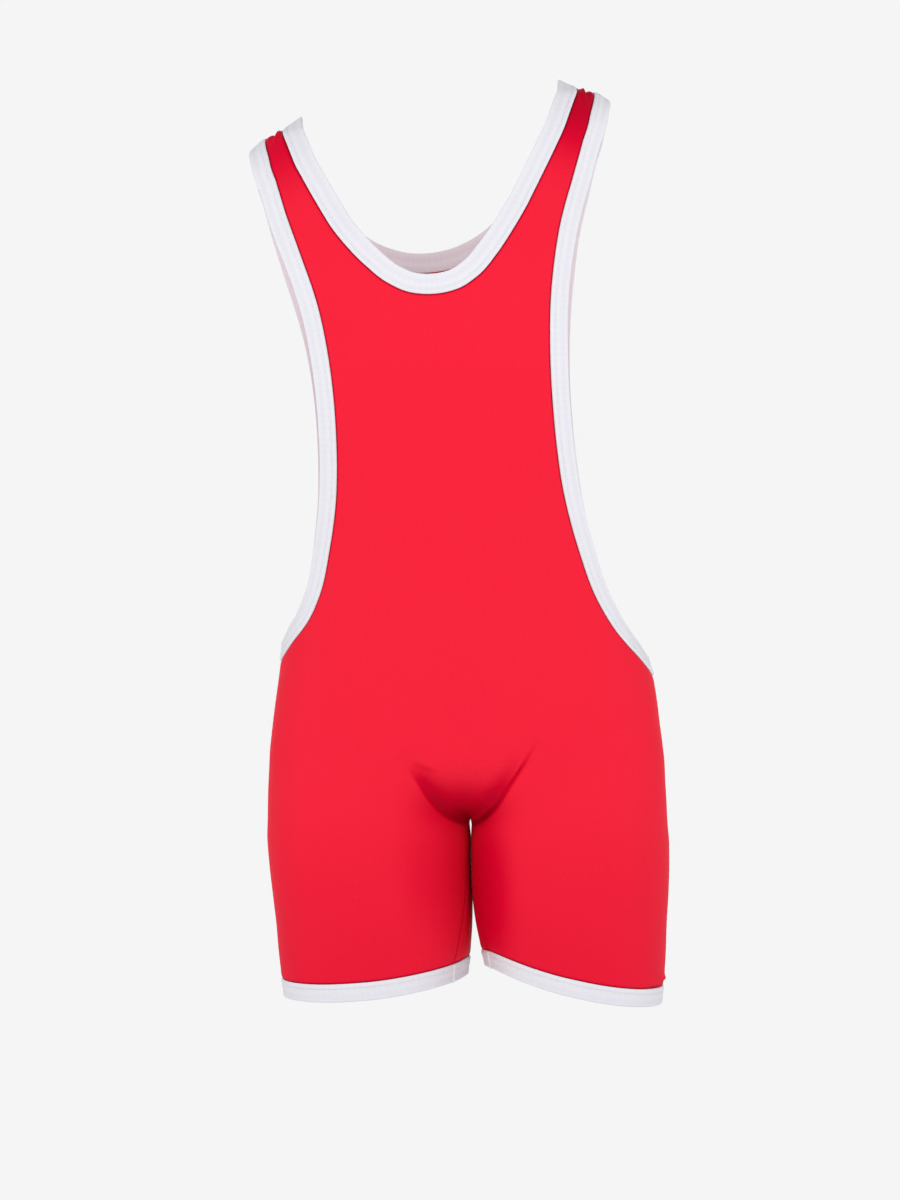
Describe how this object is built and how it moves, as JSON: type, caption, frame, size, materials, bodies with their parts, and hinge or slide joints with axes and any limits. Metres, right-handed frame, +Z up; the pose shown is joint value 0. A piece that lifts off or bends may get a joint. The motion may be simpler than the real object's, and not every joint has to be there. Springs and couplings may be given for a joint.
{
  "type": "wrestling singlet",
  "caption": "Sleeveless one-piece sports garment with deep armholes, a scooped neck and short legs, worn and hollow, in knit with contrasting bindings.",
  "frame": {"origin": "midway between the tops of the two shoulder straps, where the wearer's shoulders hold the garment", "axes": "+Z up along the body, -Y towards the garment's front, +X towards the wearer's left"},
  "size_m": [0.3781, 0.2384, 0.8302],
  "materials": {
    "red_knit": "smooth stretch knit with a soft sheen",
    "white_binding": "matte folded knit binding"
  },
  "bodies": {
    "root": {"front_panel": "red_knit", "back_panel": "red_knit", "neck_binding": "white_binding", "armhole_binding_left": "white_binding", "armhole_binding_right": "white_binding", "leg_band_left": "white_binding", "leg_band_right": "white_binding"}
  },
  "joints": []
}
